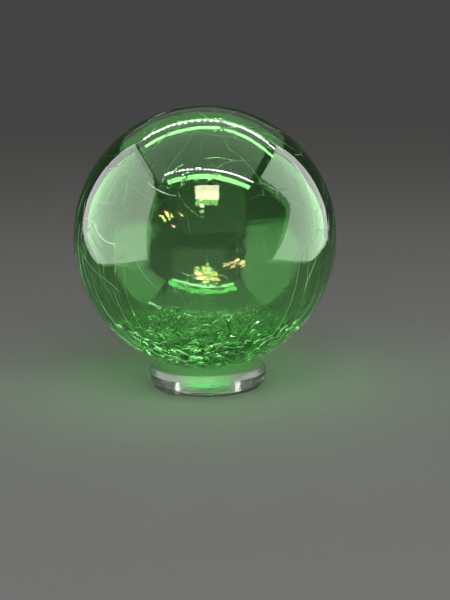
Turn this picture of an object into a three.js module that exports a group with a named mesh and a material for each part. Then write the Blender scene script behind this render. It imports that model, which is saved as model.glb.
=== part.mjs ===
// A hand-blown glass float ball, resting in a clear glass display ring.
// Millimetres, +Z up. The origin is the centre of the ring's underside, on the surface it stands on.
// Both pieces are turned shapes about the Z axis: the ball lifts off, and the ring is open through its middle.
import * as THREE from "three";

// Driving dimensions
const BALL_RADIUS = 50;
const SEAL_RADIUS = 8; // the button of glass that closed the blowing hole, at the ball's lowest point
const SEAL_DEPTH = 1.1; // how far the button stands out of the sphere
const RING_HOLE_RADIUS = 11.2;
const RING_FOOT_RADIUS = 20.9;
const RING_STEP = { radius: 21.05, height: 2.2 }; // where the foot meets the step under the outer band
const RING_BAND_LOW = { radius: 22.3, height: 2.6 }; // the band's lower edge
const RING_BAND_MIDDLE = { radius: 22.95, height: 4.4 };
const RING_BAND_HIGH = { radius: 22.97, height: 5.84 }; // where the band meets the top bevel
const RING_LIP_RADIUS = 21.6; // outer edge of the flat top
const RING_HEIGHT = 8.4;
const SEAT_ROUND = 1; // radius of the lip that the ball rests on
const EDGE_ROUND = 0.4; // radius of the ring's other edges
const SEAT_GAP = 0.3; // clearance between the ball and its seat

// Facets
const TURNS = 64; // steps round the Z axis
const BALL_STEPS = 36; // steps from the seal to the top
const SEAL_STEPS = 4;
const ROUND_STEPS = 3;

// The ball touches the rounded inner lip, so the two centres are both radii and the gap apart.
const LIP_CENTRE_RADIUS = RING_HOLE_RADIUS + SEAT_ROUND;
const LIP_CENTRE_HEIGHT = RING_HEIGHT - SEAT_ROUND;
const BALL_CENTRE_HEIGHT =
  LIP_CENTRE_HEIGHT +
  Math.sqrt((BALL_RADIUS + SEAT_ROUND + SEAT_GAP) ** 2 - LIP_CENTRE_RADIUS ** 2);

const greenGlass = new THREE.MeshStandardMaterial({
  color: 0x3f8a55,
  roughness: 0.04,
  metalness: 0,
  transparent: true,
  opacity: 0.55,
});
const clearGlass = new THREE.MeshStandardMaterial({
  color: 0xdfe8df,
  roughness: 0.05,
  metalness: 0,
  transparent: true,
  opacity: 0.35,
});

// Points on a circle of this radius about (x, y), from one angle to another, both ends included.
function arc(x, y, radius, from, to, steps) {
  return Array.from({ length: steps + 1 }, (_, i) => {
    const angle = from + ((to - from) * i) / steps;
    return new THREE.Vector2(x + radius * Math.cos(angle), y + radius * Math.sin(angle));
  });
}

// A corner of an outline replaced by an arc that meets both of its sides.
function rounded(before, corner, after, radius) {
  const toBefore = before.clone().sub(corner).normalize();
  const toAfter = after.clone().sub(corner).normalize();
  const half = Math.acos(toBefore.dot(toAfter)) / 2;
  const middle = toBefore.clone().add(toAfter).normalize();
  const centre = corner.clone().addScaledVector(middle, radius / Math.sin(half));
  const start = corner.clone().addScaledVector(toBefore, radius / Math.tan(half));
  const end = corner.clone().addScaledVector(toAfter, radius / Math.tan(half));
  const from = start.sub(centre).angle();
  let sweep = end.sub(centre).angle() - from;
  if (sweep > Math.PI) sweep -= 2 * Math.PI;
  if (sweep < -Math.PI) sweep += 2 * Math.PI;
  return arc(centre.x, centre.y, radius, from, from + sweep, ROUND_STEPS);
}

// A solid turned about Z from an outline of (radius, height) points that runs upwards on its outer side.
function turned(name, outline, material) {
  const geometry = new THREE.LatheGeometry(outline, TURNS);
  geometry.rotateX(Math.PI / 2); // the lathe turns about Y
  const mesh = new THREE.Mesh(geometry, material);
  mesh.name = name;
  return mesh;
}

// The sphere, with the seal button as a shallow cap over its lowest point.
function floatBall() {
  const rimAngle = Math.asin(SEAL_RADIUS / BALL_RADIUS);
  const rimDepth = BALL_RADIUS * Math.cos(rimAngle);
  const capHeight = BALL_RADIUS + SEAL_DEPTH - rimDepth;
  const capRadius = (SEAL_RADIUS ** 2 + capHeight ** 2) / (2 * capHeight);
  const capCentre = -(BALL_RADIUS + SEAL_DEPTH) + capRadius;
  const capHalfAngle = Math.asin(SEAL_RADIUS / capRadius);
  const down = -Math.PI / 2;
  const seal = arc(0, capCentre, capRadius, down, down + capHalfAngle, SEAL_STEPS);
  const sphere = arc(0, 0, BALL_RADIUS, down + rimAngle, Math.PI / 2, BALL_STEPS);
  const outline = [...seal, ...sphere.slice(1)];
  outline[0].x = 0;
  outline[outline.length - 1].x = 0;
  const ball = turned("float_ball", outline, greenGlass);
  ball.position.z = BALL_CENTRE_HEIGHT;
  return ball;
}

// The ring: a flat underside and top, a bevel above its outer band and a narrower foot below, and a rounded seat.
function displayRing() {
  const corner = (radius, height, round = EDGE_ROUND) => ({ at: new THREE.Vector2(radius, height), round });
  const corners = [
    corner(RING_HOLE_RADIUS, 0),
    corner(RING_FOOT_RADIUS, 0),
    corner(RING_STEP.radius, RING_STEP.height),
    corner(RING_BAND_LOW.radius, RING_BAND_LOW.height),
    corner(RING_BAND_MIDDLE.radius, RING_BAND_MIDDLE.height),
    corner(RING_BAND_HIGH.radius, RING_BAND_HIGH.height),
    corner(RING_LIP_RADIUS, RING_HEIGHT),
    corner(RING_HOLE_RADIUS, RING_HEIGHT, SEAT_ROUND),
  ];
  const outline = corners.flatMap(({ at, round }, i) => {
    const before = corners.at(i - 1).at;
    const after = corners[(i + 1) % corners.length].at;
    return rounded(before, at, after, round);
  });
  outline.push(outline[0].clone());
  return turned("display_ring", outline, clearGlass);
}

const glassFloat = new THREE.Group();
glassFloat.add(displayRing(), floatBall());

export default glassFloat;
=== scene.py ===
"""A hollow green crackle-glass float ball, resting in its clear glass display ring.

Metres, +Z up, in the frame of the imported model. The ball is a blown shell with air inside, and its cracks are
thin slits of air inside the wall. The ring is turned about the same axis.
"""

import math
import random

import bpy
from mathutils import Matrix, Vector, kdtree, noise


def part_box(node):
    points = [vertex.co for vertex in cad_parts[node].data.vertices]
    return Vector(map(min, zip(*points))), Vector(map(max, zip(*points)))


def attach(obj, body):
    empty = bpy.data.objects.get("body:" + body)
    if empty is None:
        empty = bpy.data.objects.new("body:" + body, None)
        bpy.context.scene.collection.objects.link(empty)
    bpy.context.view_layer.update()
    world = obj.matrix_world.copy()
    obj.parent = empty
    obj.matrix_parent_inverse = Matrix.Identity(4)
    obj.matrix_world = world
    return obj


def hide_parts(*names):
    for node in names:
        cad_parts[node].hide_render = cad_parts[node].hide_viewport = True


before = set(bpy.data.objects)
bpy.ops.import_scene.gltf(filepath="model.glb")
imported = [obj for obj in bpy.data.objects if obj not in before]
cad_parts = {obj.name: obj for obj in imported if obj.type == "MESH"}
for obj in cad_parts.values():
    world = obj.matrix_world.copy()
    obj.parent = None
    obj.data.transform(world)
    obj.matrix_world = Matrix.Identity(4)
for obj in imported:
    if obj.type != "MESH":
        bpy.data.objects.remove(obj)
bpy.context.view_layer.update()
MM = 0.001

BALL_LOW, BALL_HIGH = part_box("float_ball")
RING_LOW, RING_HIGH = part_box("display_ring")
BALL_RADIUS = (BALL_HIGH.x - BALL_LOW.x) / 2
BALL_CENTRE = Vector((0, 0, BALL_HIGH.z - BALL_RADIUS))
SEAL_DEPTH = BALL_CENTRE.z - BALL_RADIUS - BALL_LOW.z


# ---------------------------------------------------------------- meshes


def mesh_object(name, points, faces, material_of=None, flat_slots=()):
    """An object from points and faces. material_of gives each face's slot, and flat_slots are shaded flat."""
    mesh = bpy.data.meshes.new(name)
    mesh.from_pydata(points, [], faces)
    mesh.update()
    for polygon in mesh.polygons:
        if material_of is not None:
            polygon.material_index = material_of[polygon.index]
        polygon.use_smooth = polygon.material_index not in flat_slots
    obj = bpy.data.objects.new(name, mesh)
    bpy.context.scene.collection.objects.link(obj)
    return obj


def turned_faces(rows, turns, first, closed_ends, inward=False):
    """Faces of a surface of revolution, from rows of points after first. Closed ends have one point."""
    faces = []
    start = first + (1 if closed_ends else 0)

    def at(row, i):
        return start + row * turns + i % turns

    for row in range(rows - 1):
        for i in range(turns):
            faces.append((at(row, i), at(row, i + 1), at(row + 1, i + 1), at(row + 1, i)))
    if closed_ends:
        last = start + rows * turns
        for i in range(turns):
            faces.append((first, at(0, i + 1), at(0, i)))
            faces.append((last, at(rows - 1, i), at(rows - 1, i + 1)))
    if inward:
        faces = [tuple(reversed(face)) for face in faces]
    return faces


def smooth_step(x):
    x = min(max(x, 0.0), 1.0)
    return x * x * (3 - 2 * x)


def soft_noise(direction, cell, seed):
    """Smooth noise from -1 to 1 over the ball, with features about cell metres across."""
    return noise.noise(direction * (BALL_RADIUS / cell) + Vector((seed, 0, -seed)))


# ---------------------------------------------------------------- the ball

OUTER_TURNS, OUTER_ROWS = 256, 140
INNER_TURNS, INNER_ROWS = 128, 64
WALL = 4.5 * MM  # thickness at the sides
WALL_SLOPE = 0.2  # share by which it is thicker at the top, and thinner low down
GATHER, GATHER_ANGLE = 4.2 * MM, math.radians(34)  # the glass that gathers round the seal
BLOB, BLOB_ANGLE = 2.5 * MM, math.radians(8)  # and the lump that closes it
SEAL_ANGLE = math.radians(9.5)  # half-angle of the seal button, seen from the ball's centre


def from_bottom(direction):
    """The angle between a direction and straight down."""
    return math.acos(min(max(-direction.z, -1.0), 1.0))


def outer_radius(direction):
    """The blown skin: a sphere with slow waves, and the seal button at its lowest point."""
    waves = 0.07 * MM * soft_noise(direction, 32 * MM, 3.1) + 0.006 * MM * soft_noise(direction, 9 * MM, 7.7)
    fill = from_bottom(direction) / SEAL_ANGLE
    button = SEAL_DEPTH * (1 - smooth_step(fill - 0.15)) if fill < 1.2 else 0
    return BALL_RADIUS + waves + button


def inner_radius(direction):
    """The air inside: the wall is a little uneven, thicker at the top and thickest towards the seal."""
    angle = from_bottom(direction)
    uneven = 1 + 0.03 * soft_noise(direction, 34 * MM, 5.3) + 0.003 * soft_noise(direction, 10 * MM, 1.9)
    wall = (1 + WALL_SLOPE * direction.z) * WALL * uneven
    gather = GATHER * math.exp(-((angle / GATHER_ANGLE) ** 2))
    blob = BLOB * math.exp(-((angle / BLOB_ANGLE) ** 2))
    return BALL_RADIUS - wall - gather - blob


def blown_surface(radius_of, turns, rows):
    """Points of a closed surface round the ball's centre, from the bottom to the top."""
    points = [BALL_CENTRE + Vector((0, 0, -radius_of(Vector((0, 0, -1)))))]
    for row in range(1, rows + 1):
        polar = math.pi * row / (rows + 1)
        for i in range(turns):
            turn = 2 * math.pi * i / turns
            direction = Vector(
                (math.sin(polar) * math.cos(turn), math.sin(polar) * math.sin(turn), -math.cos(polar))
            )
            points.append(BALL_CENTRE + direction * radius_of(direction))
    points.append(BALL_CENTRE + Vector((0, 0, radius_of(Vector((0, 0, 1))))))
    return points


# ---------------------------------------------------------------- the cracks

STEP = 0.9 * MM  # between the points along a crack
CRACK_SEED = 11
CRACK_TRIES = 12000
DENSE_AXIS = Vector((0, -0.17, -0.98)).normalized()  # the middle of the densely cracked part
DENSE_ANGLE = 52  # and its half-angle in degrees
DENSE_GAP, MORE_GAP = 0.56, 9.4  # millimetres between cracks there, and how much more elsewhere
DENSE_LENGTHS, SPARSE_LENGTHS = (3, 11), (9, 40)  # shortest and longest crack in millimetres
DENSE_WANDER, SPARSE_WANDER = 0.075, 0.02
HALF_WIDTH = 0.03 * MM  # half the thickness of a crack's air
FLAKE_HALF_WIDTH = 0.008 * MM


def from_dense(direction):
    """The angle in degrees between a direction and the middle of the densely cracked part."""
    return math.degrees(math.acos(min(direction.dot(DENSE_AXIS), 1.0)))


def is_dense(direction):
    return from_dense(direction) < DENSE_ANGLE


def on_sphere(rng):
    z = rng.uniform(-1, 1)
    turn = rng.uniform(0, 2 * math.pi)
    flat = math.sqrt(1 - z * z)
    return Vector((flat * math.cos(turn), flat * math.sin(turn), z))


def crack_spacing(direction):
    """How far apart cracks keep: close together low down, sparse over the rest."""
    return (DENSE_GAP + MORE_GAP * smooth_step((from_dense(direction) - DENSE_ANGLE + 5) / 14)) * MM


def grow(start, heading, rng, others, length, wander):
    """A wandering line on the unit sphere from start, until it is long enough or meets another crack."""
    path = [start]
    bend = rng.gauss(0, 1.5 * wander)
    while len(path) * STEP < length:
        bend = 0.93 * bend + rng.gauss(0, wander)
        here = path[-1]
        heading = (heading - here * heading.dot(here)).normalized()
        heading = Matrix.Rotation(bend, 3, here) @ heading
        path.append((here + heading * (STEP / BALL_RADIUS)).normalized())
        if others is not None and others.find(path[-1])[2] < 0.6 * STEP / BALL_RADIUS:
            break
    return path


def crack_start(rng):
    """A random place on the ball, most often in the densely cracked part."""
    start = on_sphere(rng)
    while rng.random() < 0.6 and not is_dense(start):
        start = on_sphere(rng)
    return start


def crack_paths():
    """Cracks that keep clear of each other where they start, and end where they run into an older one."""
    rng = random.Random(CRACK_SEED)
    paths, points = [], []
    tree = None
    for _ in range(CRACK_TRIES):
        start = crack_start(rng)
        if tree is not None and tree.find(start)[2] * BALL_RADIUS < crack_spacing(start):
            continue
        heading = start.cross(on_sphere(rng)).normalized()
        dense = is_dense(start)
        length = rng.uniform(*(DENSE_LENGTHS if dense else SPARSE_LENGTHS)) * MM
        wander = DENSE_WANDER if dense else SPARSE_WANDER
        ahead = grow(start, heading, rng, tree, length / 2, wander)
        back = grow(start, -heading, rng, tree, length / 2, wander)
        path = list(reversed(back)) + ahead[1:]
        if len(path) < 4:
            continue
        paths.append(path)
        points.extend(path)
        tree = kdtree.KDTree(len(points))
        for i, point in enumerate(points):
            tree.insert(point, i)
        tree.balance()
    return paths


def star_paths(centre, arms, reach):
    """Short cracks that run out from one struck point, given as a direction from the ball's centre."""
    rng = random.Random(CRACK_SEED + arms)
    level = centre.cross(Vector((0, 0, 1))).normalized()
    paths = []
    for arm in range(arms):
        turn = 2 * math.pi * (arm + rng.uniform(-0.3, 0.3)) / arms
        heading = Matrix.Rotation(turn, 3, centre) @ level
        paths.append(grow(centre, heading, rng, None, reach * rng.uniform(0.4, 1.1), 0.08))
    return paths


def flake_paths(centre, count, spread, facing):
    """Short cracks scattered round a struck point, for the flakes under it that face one direction."""
    rng = random.Random(CRACK_SEED + count)
    level = centre.cross(Vector((0, 0, 1))).normalized()
    upright = level.cross(centre)
    paths = []
    for _ in range(count):
        across, up = rng.gauss(0, spread), rng.gauss(0, 0.6 * spread)
        start = (centre * BALL_RADIUS + level * across + upright * up).normalized()
        heading = Matrix.Rotation(rng.gauss(0, 0.12), 3, start) @ start.cross(facing).normalized()
        paths.append(grow(start, heading, rng, None, rng.uniform(2.0, 4.0) * MM, 0.03))
    return paths


def streak_paths(first_turn, last_turn, count):
    """Long cracks side by side down the ball's flank towards the seal, between two angles about Z."""
    rng = random.Random(CRACK_SEED + count)
    paths = []
    for i in range(count):
        turn = math.radians(first_turn + (last_turn - first_turn) * (i + rng.uniform(-0.3, 0.3)) / count)
        polar = math.radians(rng.uniform(72, 98))
        start = Vector((math.sin(polar) * math.cos(turn), math.sin(polar) * math.sin(turn), -math.cos(polar)))
        down = Vector((0, 0, -1)) - start * -start.z
        paths.append(grow(start, down.normalized(), rng, None, rng.uniform(18, 46) * MM, 0.006))
    return paths


def hairline_cut(path, rng):
    """Skin left over a crack, its depth, its lean and half its width: a shallow crack on end in the wall."""
    return rng.uniform(0.15, 0.4) * MM, rng.uniform(0.3, 1.1) * MM, rng.gauss(0, 0.25), HALF_WIDTH


def deep_cut(path, rng):
    """A crack low down goes deep into the thick glass, or now and then lies almost along the skin."""
    if rng.random() < 0.25:
        lean = rng.choice((-1, 1)) * rng.uniform(0.7, 2.0)
        return rng.uniform(0.2, 1.5) * MM, rng.uniform(0.3, 0.8) * MM, lean, HALF_WIDTH
    return rng.uniform(0.2, 0.5) * MM, rng.uniform(1.2, 4.2) * MM, rng.gauss(0, 0.3), HALF_WIDTH


def struck_cut(facing):
    """A way to cut flakes under a struck point, that all face one direction."""

    def cut(path, rng):
        middle = len(path) // 2
        side = path[middle].cross(path[middle + 1] - path[middle - 1]).normalized()
        lean = facing.dot(path[middle]) / facing.dot(side)
        skin = rng.uniform(0.3, 0.8) * MM
        depth = rng.uniform(0.9, 1.7) * MM / math.hypot(1, lean)
        return skin, depth, lean, FLAKE_HALF_WIDTH

    return cut


def crack_mesh(paths, cut, seed):
    """Each crack as a thin slit of air, lens-shaped in section and closed, with its faces towards the air."""
    rng = random.Random(seed)
    points, faces = [], []
    for path in paths:
        skin, depth, lean, width = cut(path, rng)
        first = len(points)
        count = len(path)
        for i, here in enumerate(path):
            along = (path[min(i + 1, count - 1)] - path[max(i - 1, 0)]).normalized()
            side = here.cross(along).normalized()
            taper = math.sqrt(max(math.sin(math.pi * i / (count - 1)), 0.0))
            ragged = 0.75 + 0.5 * noise.noise(here * 22)
            reach = depth * ragged * (0.25 + 0.75 * taper)
            half = width * (0.15 + 0.85 * taper)
            tilt = lean + 0.3 * noise.noise(here * 9 + Vector((4, 4, 4)))
            top = here * (BALL_RADIUS - skin)
            bottom = here * (BALL_RADIUS - skin - reach) + side * (reach * tilt)
            middle = (top + bottom) / 2
            across = (bottom - top).cross(along).normalized() * half
            points += [BALL_CENTRE + top, BALL_CENTRE + middle + across]
            points += [BALL_CENTRE + bottom, BALL_CENTRE + middle - across]
        for i in range(count - 1):
            a, b = first + 4 * i, first + 4 * (i + 1)
            for k in range(4):
                faces.append((a + k, b + k, b + (k + 1) % 4, a + (k + 1) % 4))
        last = first + 4 * (count - 1)
        faces.append((first, first + 1, first + 2, first + 3))
        faces.append((last + 3, last + 2, last + 1, last))
    return points, faces


# The ball's material slots.
BODY_SLOT, HAIRLINE_SLOT, DEEP_SLOT, FLAKE_SLOT = range(4)

# Long cracks down the flanks: the first and last angle about Z in degrees, and how many.
STREAKS = [(168, 238, 20), (-50, 5, 9)]

# Struck points: direction from the ball's centre, number and length of the cracks, number and scatter of the
# flakes, and the direction the flakes face.
STARS = [
    (Vector((0.01, -0.98, -0.145)), 9, 12 * MM, 34, 2.2 * MM, Vector((0.014, -0.97, 0.246))),
    (Vector((0.23, -0.97, -0.05)), 6, 7 * MM, 12, 1.4 * MM, Vector((0.08, -0.95, 0.28))),
    (Vector((-0.24, -0.94, 0.24)), 4, 4 * MM, 9, 1.6 * MM, Vector((-0.06, -0.92, 0.38))),
]


def crack_groups():
    """All the cracks, as groups of a material slot, the cracks' paths and the way to cut them."""
    hairlines = [path for flank in STREAKS for path in streak_paths(*flank)]
    deep = []
    for i, path in enumerate(crack_paths()):
        goes_deep = is_dense(path[len(path) // 2]) and i % 4 > 0
        (deep if goes_deep else hairlines).append(path)
    groups = [(HAIRLINE_SLOT, hairlines, hairline_cut), (DEEP_SLOT, deep, deep_cut)]
    for centre, arms, reach, count, spread, facing in STARS:
        centre.normalize()
        hairlines += star_paths(centre, arms, reach)
        groups.append((FLAKE_SLOT, flake_paths(centre, count, spread, facing), struck_cut(facing)))
    return groups


def glass_ball():
    points = blown_surface(outer_radius, OUTER_TURNS, OUTER_ROWS)
    faces = turned_faces(OUTER_ROWS, OUTER_TURNS, 0, True)
    faces += turned_faces(INNER_ROWS, INNER_TURNS, len(points), True, inward=True)
    points += blown_surface(inner_radius, INNER_TURNS, INNER_ROWS)
    slots = [BODY_SLOT] * len(faces)
    for slot, paths, cut in crack_groups():
        slits, slit_faces = crack_mesh(paths, cut, CRACK_SEED + len(paths))
        faces += [tuple(len(points) + i for i in face) for face in slit_faces]
        points += slits
        slots += [slot] * len(slit_faces)
    return mesh_object("glass_ball", points, faces, slots, flat_slots=(FLAKE_SLOT,))


# ---------------------------------------------------------------- the ring

RING_TURNS = 192
RING_HOLE = 11.2 * MM  # radius
ROUND_STEPS = 6
# The second slot is dull, half-diffuse whitened glass: partly haze, partly a painted highlight on the bevel and
# the step's edge.
CLEAR_SLOT, HAZE_AND_HIGHLIGHT_SLOT = range(2)


def rounded_corner(before, corner, after, radius, steps):
    """Points on the arc that rounds a convex corner of an outline."""
    to_before = (before - corner).normalized()
    to_after = (after - corner).normalized()
    half = to_before.angle(to_after) / 2
    centre = corner + (to_before + to_after).normalized() * (radius / math.sin(half))
    start = corner + to_before * (radius / math.tan(half)) - centre
    end = corner + to_after * (radius / math.tan(half)) - centre
    points = []
    for i in range(steps + 1):
        t = i / steps
        mixed = start.slerp(end, t)
        points.append(centre + mixed.normalized() * radius)
    return points


def ring_outline():
    """The ring's section, as radius and height: a narrow foot, a step, a bowed side, a bevel and a lip."""
    low, high, width = RING_LOW.z, RING_HIGH.z, RING_HIGH.x
    corners = [  # radius, height, and the corner's rounding in millimetres
        (RING_HOLE, low, 0.6),
        (width - 2.07 * MM, low, 0.5),
        (width - 1.92 * MM, low + 2.2 * MM, 0.4),
        (width - 0.67 * MM, low + 2.6 * MM, 0.5),
        (width - 0.02 * MM, low + 4.4 * MM, 2.5),
        (width, low + 5.84 * MM, 1.8),
        (width - 1.37 * MM, high, 0.9),
        (RING_HOLE, high, 1.0),
        (RING_HOLE - 0.5 * MM, low + 4.2 * MM, 15.0),
    ]
    outline = []
    for i, (radius, height, round_mm) in enumerate(corners):
        before = Vector(corners[i - 1][:2])
        after = Vector(corners[(i + 1) % len(corners)][:2])
        outline += rounded_corner(before, Vector((radius, height)), after, round_mm * MM, ROUND_STEPS)
    return outline


def is_haze_and_highlight(radius, height):
    """Whether a face is on the bevel or the step's edge, where the glass is a little dull and whitened. The
    whitening is a painted highlight for the pale band and bright line that reflections make there.
    """
    on_bevel = height > 5.9 * MM and radius > RING_HIGH.x - 4.5 * MM
    on_edge = 2.35 * MM < height < 2.9 * MM and radius > RING_HIGH.x - 1.5 * MM
    return on_bevel or on_edge


def glass_ring():
    outline = ring_outline()
    points = []
    for radius, height in outline:
        for i in range(RING_TURNS):
            turn = 2 * math.pi * i / RING_TURNS
            points.append((radius * math.cos(turn), radius * math.sin(turn), height))
    faces = turned_faces(len(outline), RING_TURNS, 0, False)
    last = (len(outline) - 1) * RING_TURNS
    for i in range(RING_TURNS):
        j = (i + 1) % RING_TURNS
        faces.append((last + i, last + j, j, i))
    slots = []
    for face in faces:
        height = sum(points[i][2] for i in face) / len(face) - RING_LOW.z
        radius = math.hypot(*points[face[0]][:2])
        slots.append(HAZE_AND_HIGHLIGHT_SLOT if is_haze_and_highlight(radius, height) else CLEAR_SLOT)
    return mesh_object("glass_ring", points, faces, slots)


# ---------------------------------------------------------------- materials


def new_material(name):
    material = bpy.data.materials.new(name)
    material.use_nodes = True
    return material, material.node_tree.nodes, material.node_tree.links


def set_glass(shader, tint, ior, roughness):
    shader.inputs["Base Color"].default_value = (*tint, 1)
    shader.inputs["Transmission Weight"].default_value = 1.0
    shader.inputs["IOR"].default_value = ior
    shader.inputs["Roughness"].default_value = roughness


def crack_lines(nodes, links, place, cell, width, warp):
    """Thin wandering lines round cells of about this size, as a value that is 1 on a line."""
    wander = nodes.new("ShaderNodeTexNoise")
    wander.inputs["Scale"].default_value = 0.9 / cell
    wander.inputs["Detail"].default_value = 2
    shift = nodes.new("ShaderNodeVectorMath")
    shift.operation = "MULTIPLY_ADD"
    shift.inputs[1].default_value = (warp * cell,) * 3
    cells = nodes.new("ShaderNodeTexVoronoi")
    cells.feature = "DISTANCE_TO_EDGE"
    cells.inputs["Scale"].default_value = 1 / cell
    edge = nodes.new("ShaderNodeMapRange")
    edge.interpolation_type = "SMOOTHSTEP"
    edge.inputs["From Min"].default_value = 0
    edge.inputs["From Max"].default_value = width / cell
    edge.inputs["To Min"].default_value = 1
    edge.inputs["To Max"].default_value = 0
    links.new(place.outputs["Object"], wander.inputs["Vector"])
    links.new(wander.outputs["Color"], shift.inputs[0])
    links.new(place.outputs["Object"], shift.inputs[2])
    links.new(shift.outputs["Vector"], cells.inputs["Vector"])
    links.new(cells.outputs["Distance"], edge.inputs["Value"])
    return edge.outputs["Result"]


def multiply(nodes, links, first, second):
    """The product of two values, each an output or a number."""
    product = nodes.new("ShaderNodeMath")
    product.operation = "MULTIPLY"
    for socket, value in zip(product.inputs, (first, second)):
        if isinstance(value, (int, float)):
            socket.default_value = value
        else:
            links.new(value, socket)
    return product.outputs["Value"]


def add(nodes, links, first, second):
    total = nodes.new("ShaderNodeMath")
    total.operation = "ADD"
    links.new(first, total.inputs[0])
    links.new(second, total.inputs[1])
    return total.outputs["Value"]


def near_bottom(nodes, links, place):
    """1 low on the ball, where it is densely cracked, fading to 0 higher up."""
    parts = nodes.new("ShaderNodeSeparateXYZ")
    fade = nodes.new("ShaderNodeMapRange")
    fade.interpolation_type = "SMOOTHSTEP"
    fade.inputs["From Min"].default_value = BALL_CENTRE.z - 0.82 * BALL_RADIUS
    fade.inputs["From Max"].default_value = BALL_CENTRE.z - 0.58 * BALL_RADIUS
    fade.inputs["To Min"].default_value = 1
    fade.inputs["To Max"].default_value = 0
    links.new(place.outputs["Object"], parts.inputs["Vector"])
    links.new(parts.outputs["Z"], fade.inputs["Value"])
    return fade.outputs["Result"]


def patches(nodes, links, place, size):
    """Soft patches about this big, so that lines come and go along their length."""
    cloud = nodes.new("ShaderNodeTexNoise")
    cloud.inputs["Scale"].default_value = 1 / size
    cloud.inputs["Detail"].default_value = 1
    fade = nodes.new("ShaderNodeMapRange")
    fade.interpolation_type = "SMOOTHSTEP"
    fade.inputs["From Min"].default_value = 0.45
    fade.inputs["From Max"].default_value = 0.6
    links.new(place.outputs["Object"], cloud.inputs["Vector"])
    links.new(cloud.outputs["Fac"], fade.inputs["Value"])
    return fade.outputs["Result"]


GREEN = (0.14, 0.76, 0.06, 1)
GREEN_DENSITY = 160.0


def green_glass():
    """Emerald glass that darkens with depth. Fine grooves in its skin lie close together low down."""
    material, nodes, links = new_material("green_glass")
    shader = nodes["Principled BSDF"]
    set_glass(shader, (1.0, 1.0, 1.0), 1.5, 0.01)
    place = nodes.new("ShaderNodeTexCoord")
    sparse = crack_lines(nodes, links, place, 15 * MM, 0.4 * MM, 0.9)
    broken = multiply(nodes, links, sparse, patches(nodes, links, place, 12 * MM))
    sparse = multiply(nodes, links, broken, 0.25)
    fine = crack_lines(nodes, links, place, 3.4 * MM, 0.5 * MM, 1.3)
    low_down = multiply(nodes, links, fine, near_bottom(nodes, links, place))
    fine = multiply(nodes, links, low_down, 0.6)
    grooves = nodes.new("ShaderNodeBump")
    grooves.invert = True
    grooves.inputs["Strength"].default_value = 1.0
    grooves.inputs["Distance"].default_value = 0.12 * MM
    links.new(add(nodes, links, sparse, fine), grooves.inputs["Height"])
    links.new(grooves.outputs["Normal"], shader.inputs["Normal"])
    absorb = nodes.new("ShaderNodeVolumeAbsorption")
    absorb.inputs["Color"].default_value = GREEN
    absorb.inputs["Density"].default_value = GREEN_DENSITY
    links.new(absorb.outputs["Volume"], nodes["Material Output"].inputs["Volume"])
    return material


def crack_glass(name, transmission, roughness):
    """The faces of the cracks: bare glass against a film of air, a little whitened by fine splinters."""
    material, nodes, links = new_material(name)
    shader = nodes["Principled BSDF"]
    set_glass(shader, (1, 1, 1), 1.5, roughness)
    shader.inputs["Transmission Weight"].default_value = transmission
    shader.inputs["Thin Film Thickness"].default_value = 420
    shader.inputs["Thin Film IOR"].default_value = 1.35
    return material


def flake_glass():
    """The flakes under struck points, whose film of air comes out green, yellow and orange as it varies."""
    material = crack_glass("flake_faces", 1.0, 0.04)
    nodes, links = material.node_tree.nodes, material.node_tree.links
    shader = nodes["Principled BSDF"]
    shader.inputs["Thin Film IOR"].default_value = 1.3
    place = nodes.new("ShaderNodeTexCoord")
    drift = nodes.new("ShaderNodeTexNoise")
    drift.inputs["Scale"].default_value = 1 / (2 * MM)
    drift.inputs["Detail"].default_value = 1
    film = nodes.new("ShaderNodeMapRange")
    film.inputs["From Min"].default_value = 0.3
    film.inputs["From Max"].default_value = 0.7
    film.inputs["To Min"].default_value = 400
    film.inputs["To Max"].default_value = 490
    links.new(place.outputs["Object"], drift.inputs["Vector"])
    links.new(drift.outputs["Fac"], film.inputs["Value"])
    links.new(film.outputs["Result"], shader.inputs["Thin Film Thickness"])
    return material


def clear_glass(name, transmission, roughness):
    """Clear glass with the faint level ripples that turning and pressing leave, and a trace of haze."""
    material, nodes, links = new_material(name)
    shader = nodes["Principled BSDF"]
    set_glass(shader, (0.96, 0.98, 0.93), 1.49, roughness)
    shader.inputs["Transmission Weight"].default_value = transmission
    place = nodes.new("ShaderNodeTexCoord")
    flatten = nodes.new("ShaderNodeMapping")
    flatten.inputs["Scale"].default_value = (0.12, 0.12, 1)
    ripple = nodes.new("ShaderNodeTexNoise")
    ripple.inputs["Scale"].default_value = 1 / (0.9 * MM)
    ripple.inputs["Detail"].default_value = 1
    bump = nodes.new("ShaderNodeBump")
    bump.inputs["Distance"].default_value = 0.35 * MM
    links.new(place.outputs["Object"], flatten.inputs["Vector"])
    links.new(flatten.outputs["Vector"], ripple.inputs["Vector"])
    links.new(ripple.outputs["Fac"], bump.inputs["Height"])
    links.new(bump.outputs["Normal"], shader.inputs["Normal"])
    return material


def floor_material():
    material, nodes, links = new_material("pale_floor")
    shader = nodes["Principled BSDF"]
    shader.inputs["Base Color"].default_value = (0.56, 0.555, 0.54, 1)
    shader.inputs["Roughness"].default_value = 0.9
    shader.inputs["Specular IOR Level"].default_value = 0
    return material


# ---------------------------------------------------------------- floor, light and camera

CAMERA_DISTANCE = 400 * MM
CAMERA_ELEVATION = math.radians(6.83)
CAMERA_ROLL = math.radians(-0.75)
LENS_MM = 62.7
AIM_SHIFT = Vector((7.2 * MM, 0, -24.15 * MM))  # from the ball's centre to where the camera points


def floor():
    bpy.ops.mesh.primitive_circle_add(vertices=128, radius=6, fill_type="NGON", location=(0, 0, 0))
    disc = bpy.context.object
    disc.name = "floor"
    disc.data.materials.append(floor_material())


def aimed(location, target):
    """A rotation that looks from location at target, with its top up."""
    return (target - location).to_track_quat("-Z", "Y")


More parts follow.
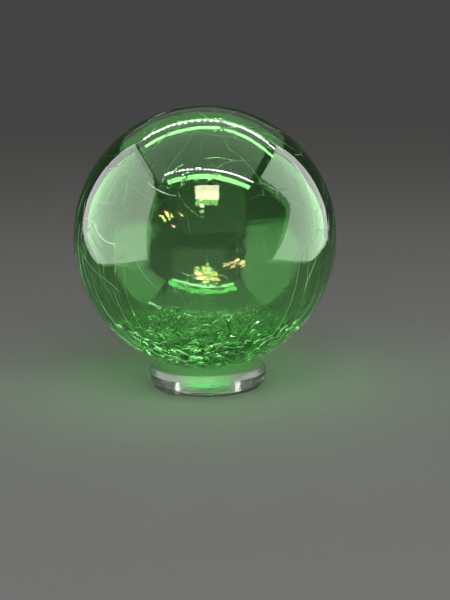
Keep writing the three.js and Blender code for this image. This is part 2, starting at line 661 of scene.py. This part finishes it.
def panel(name, offset, size, colour, radiance, lights_floor=False):
    """A soft rectangular light, placed from the ball's centre. Radiance is how bright a mirror shows it."""
    data = bpy.data.lights.new(name, "AREA")
    data.shape = "RECTANGLE"
    data.size, data.size_y = size
    data.color = colour
    data.energy = radiance * math.pi * size[0] * size[1]
    light = bpy.data.objects.new(name, data)
    light.location = BALL_CENTRE + offset
    light.rotation_mode = "QUATERNION"
    bpy.context.scene.collection.objects.link(light)
    light.visible_camera = False
    light.visible_diffuse = lights_floor
    light.visible_glossy = not lights_floor
    return light


def glow_material(name, strength, back_strength=None):
    """Plain light; with back_strength, it fades from strength at the front to that at the back."""
    material, nodes, links = new_material(name)
    nodes.remove(nodes["Principled BSDF"])
    glow = nodes.new("ShaderNodeEmission")
    glow.inputs["Strength"].default_value = strength
    links.new(glow.outputs["Emission"], nodes["Material Output"].inputs["Surface"])
    if back_strength is not None:
        place = nodes.new("ShaderNodeTexCoord")
        parts = nodes.new("ShaderNodeSeparateXYZ")
        fade = nodes.new("ShaderNodeMapRange")
        fade.inputs["From Min"].default_value = -0.2
        fade.inputs["From Max"].default_value = 0.15
        fade.inputs["To Min"].default_value = strength
        fade.inputs["To Max"].default_value = back_strength
        links.new(place.outputs["Object"], parts.inputs["Vector"])
        links.new(parts.outputs["Y"], fade.inputs["Value"])
        links.new(fade.outputs["Result"], glow.inputs["Strength"])
    return material


def only_in_glass(obj, mirrored=True, through=True):
    """Seen in the glass, mirrored in its skin or through it. The camera and the floor don't get its light."""
    obj.visible_camera = False
    obj.visible_diffuse = False
    obj.visible_shadow = False
    obj.visible_glossy = mirrored
    obj.visible_transmission = through


def side_wall(name, x, outline):
    """A white side wall of a light tent, upright at x, with its outline as (y, z) from the ball's centre."""
    points = [BALL_CENTRE + Vector((x, y, z)) for y, z in outline]
    wall = mesh_object(name, points, [tuple(range(len(points)))])
    wall.data.materials.append(glow_material(name, *WALL_GLOW))
    only_in_glass(wall)


WALL_DISTANCE = 0.23
WALL_GLOW = 4.1, 3.3  # at the front and at the back
LEFT_WALL = [(-0.225, -0.054), (0.03, -0.054), (0.13, 0.0), (0.16, 0.06)]
LEFT_WALL += [(0.2, 0.295), (-0.11, 0.305), (-0.205, 0.24)]
RIGHT_WALL = [(-0.17, -0.055), (0.02, -0.055), (0.13, -0.02), (0.155, 0.03)]
RIGHT_WALL += [(0.19, 0.272), (-0.11, 0.262), (-0.052, 0.095)]

# The ceiling over the tent and the one far behind it: half-width, front, back and height.
NEAR_CEILING = (WALL_DISTANCE, -0.2, 0.19, 0.315)
FAR_CEILING = (0.9, 0.5, 2.0, 0.9)


def side_walls():
    side_wall("left_wall", -WALL_DISTANCE, LEFT_WALL)
    side_wall("right_wall", WALL_DISTANCE, RIGHT_WALL)


def ceiling(name, half_width, front, back, height, strength, mirrored):
    """A dim sheet of ceiling, seen either mirrored in the skin or through the glass."""
    corners = [(-half_width, front), (-half_width, back), (half_width, back), (half_width, front)]
    points = [BALL_CENTRE + Vector((x, y, height)) for x, y in corners]
    sheet = mesh_object(name, points, [(0, 1, 2, 3)])
    sheet.data.materials.append(glow_material(name, strength))
    only_in_glass(sheet, mirrored=mirrored, through=not mirrored)


def lamp_bar(name, left, right, half, strength):
    """An even bar of light along the ceiling, seen only through the glass."""
    side = Vector((0, half, 0))
    ends = [left - side, left + side, right + side, right - side]
    bar = mesh_object(name, [BALL_CENTRE + end for end in ends], [(0, 1, 2, 3)])
    bar.data.materials.append(glow_material(name, strength))
    only_in_glass(bar, mirrored=False)


def lamp_row(name, left, right, count, strength):
    """A ceiling strip of small square lamps, seen mirrored in the skin."""
    half = 3.6 * MM
    points, faces = [], []
    for i in range(count):
        at = BALL_CENTRE + left.lerp(right, i / (count - 1))
        first = len(points)
        for x, y in ((-half, -half), (-half, half), (half, half), (half, -half)):
            points.append(at + Vector((x, y, 0)))
        faces.append((first, first + 1, first + 2, first + 3))
    row = mesh_object(name, points, faces)
    row.data.materials.append(glow_material(name, strength))
    only_in_glass(row, through=False)


# Strips of lamps along the ceiling: their left and right ends from the ball's centre.
BACK_ROW = (Vector((-0.190, 0.170, 0.308)), Vector((0.270, 0.155, 0.308)))
FRONT_ROW = (Vector((-0.172, -0.150, 0.308)), Vector((0.243, -0.182, 0.308)))
FAR_ROW = (Vector((-0.25, 0.42, 0.42)), Vector((0.28, 0.42, 0.42)))


def ceiling_lamps():
    lamp_row("back_lamps", *BACK_ROW, 27, 260)
    lamp_bar("back_bar", *BACK_ROW, 14 * MM, 23)
    lamp_row("front_lamps", *FRONT_ROW, 25, 160)
    lamp_bar("front_bar", *FRONT_ROW, 15 * MM, 42)
    lamp_bar("far_bar", *FAR_ROW, 25 * MM, 2.5)


GLOW_RADIUS = 10 * MM


def focus_glow():
    """The green light that the ball gathers on the floor inside the ring, which path tracing rarely finds."""
    data = bpy.data.lights.new("focus_glow", "AREA")
    data.shape = "DISK"
    data.size = 2 * GLOW_RADIUS
    data.color = (0.03, 1, 0.1)
    data.energy = 1.8 * math.pi * math.pi * GLOW_RADIUS**2
    light = bpy.data.objects.new("focus_glow", data)
    light.location = (0, 0, 2.5 * MM)
    bpy.context.scene.collection.objects.link(light)
    light.visible_camera = False
    light.visible_glossy = False
    light.visible_transmission = False


def sky():
    """A pale surround that is as bright at the horizon as the floor is there, and dim overhead."""
    world = bpy.data.worlds.new("studio")
    world.use_nodes = True
    nodes, links = world.node_tree.nodes, world.node_tree.links
    place = nodes.new("ShaderNodeTexCoord")
    parts = nodes.new("ShaderNodeSeparateXYZ")
    fade = nodes.new("ShaderNodeMapRange")
    fade.interpolation_type = "SMOOTHSTEP"
    fade.inputs["From Min"].default_value = 0.02
    fade.inputs["From Max"].default_value = 0.5
    fade.inputs["To Min"].default_value = 0.058
    fade.inputs["To Max"].default_value = 0.045
    links.new(place.outputs["Generated"], parts.inputs["Vector"])
    links.new(parts.outputs["Z"], fade.inputs["Value"])
    links.new(fade.outputs["Result"], nodes["Background"].inputs["Color"])
    bpy.context.scene.world = world


def even_light():
    """A little light from all over the sky for the floor, so that it meets the surround without an edge."""
    data = bpy.data.lights.new("even_light", "SUN")
    data.energy = 0.19
    data.angle = math.radians(120)
    light = bpy.data.objects.new("even_light", data)
    bpy.context.scene.collection.objects.link(light)
    light.visible_glossy = False
    light.visible_transmission = False


def studio():
    side_walls()
    ceiling("ceiling", *NEAR_CEILING, 1.0, mirrored=True)
    ceiling("ceiling_through", *NEAR_CEILING, 1.6, mirrored=False)
    ceiling("far_ceiling", *FAR_CEILING, 0.3, mirrored=True)
    ceiling("far_ceiling_through", *FAR_CEILING, 0.35, mirrored=False)
    ceiling_lamps()
    focus_glow()
    window = panel("warm_window", Vector((0.016, -0.362, 0.344)), (0.155, 0.105), (1, 0.93, 0.62), 20)
    window.rotation_quaternion = aimed(window.location, BALL_CENTRE)
    lamp = panel("small_lamp", Vector((-0.02, -0.421, 0.269)), (0.03, 0.026), (1, 0.95, 0.75), 22)
    lamp.rotation_quaternion = aimed(lamp.location, BALL_CENTRE)
    top = panel("soft_top", Vector((0.1, -0.8, 0.75)), (1.2, 1.2), (1, 1, 1), 0.85, lights_floor=True)
    top.rotation_quaternion = aimed(top.location, BALL_CENTRE)
    even_light()
    sky()


def camera():
    data = bpy.data.cameras.new("camera")
    data.lens = LENS_MM
    data.sensor_fit = "AUTO"
    data.sensor_width = 36
    data.clip_start = 0.01
    view = bpy.data.objects.new("camera", data)
    back = Vector((0, -math.cos(CAMERA_ELEVATION), math.sin(CAMERA_ELEVATION)))
    view.location = BALL_CENTRE + back * CAMERA_DISTANCE
    look = aimed(view.location, BALL_CENTRE + AIM_SHIFT)
    view.rotation_euler = (look.to_matrix() @ Matrix.Rotation(CAMERA_ROLL, 3, "Z")).to_euler()
    bpy.context.scene.collection.objects.link(view)
    bpy.context.scene.camera = view


# ---------------------------------------------------------------- the scene


def build():
    ball = glass_ball()
    ball.data.materials.append(green_glass())
    ball.data.materials.append(crack_glass("hairline_faces", 0.35, 0.15))
    ball.data.materials.append(crack_glass("deep_faces", 1.0, 0.08))
    ball.data.materials.append(flake_glass())
    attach(ball, "root")
    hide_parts("float_ball")
    ring = glass_ring()
    ring.data.materials.append(clear_glass("clear_glass", 0.8, 0.04))
    # Dull, whitened glass on the bevel and the step's edge: partly haze, partly a painted highlight standing in
    # for reflections.
    ring.data.materials.append(clear_glass("haze_and_painted_highlight", 0.45, 0.25))
    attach(ring, "root")
    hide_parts("display_ring")
    floor()
    studio()
    camera()
    scene = bpy.context.scene
    scene.view_settings.view_transform = "Standard"
    scene.cycles.max_bounces = 32
    scene.cycles.transmission_bounces = 32
    scene.cycles.glossy_bounces = 12
    scene.cycles.sample_clamp_indirect = 40


build()
bpy.context.view_layer.update()
